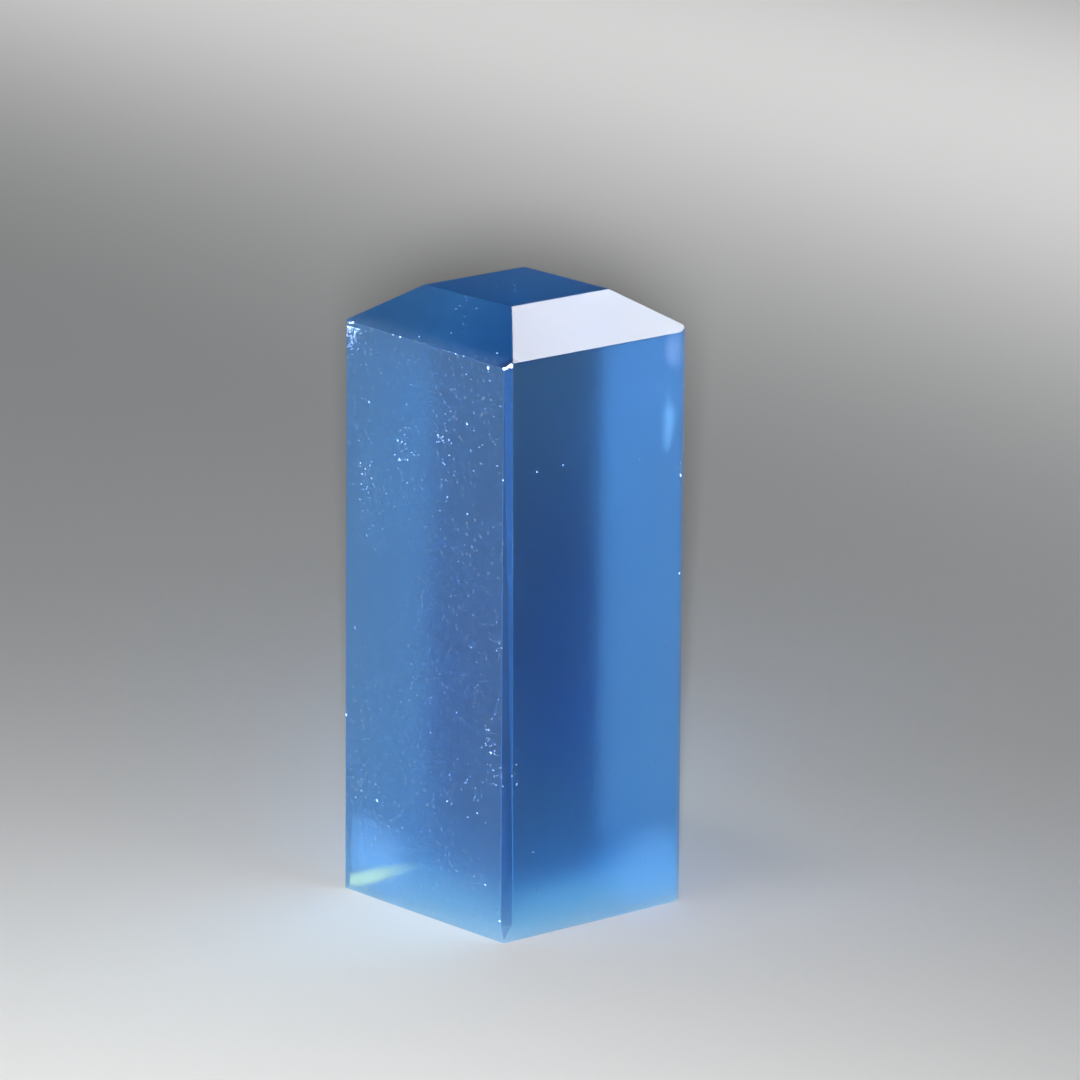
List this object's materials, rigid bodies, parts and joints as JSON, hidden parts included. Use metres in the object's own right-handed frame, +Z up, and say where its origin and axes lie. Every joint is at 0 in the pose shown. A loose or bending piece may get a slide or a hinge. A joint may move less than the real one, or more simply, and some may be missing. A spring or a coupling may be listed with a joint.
{
  "type": "aquamarine crystal",
  "caption": "Cut and polished clear blue aquamarine column, square in section, with bevelled edges, a low faceted crown and a flat table; stands on its flat base.",
  "frame": {"origin": "middle of the flat base", "axes": "+Z up along the column to the table; the -Y and +X faces meet at the bevelled near edge"},
  "size_m": [0.016, 0.0152, 0.0406],
  "materials": {
    "aquamarine": "polished clear blue beryl with a faint inner haze"
  },
  "bodies": {
    "root": {"crystal": "aquamarine"}
  },
  "joints": []
}
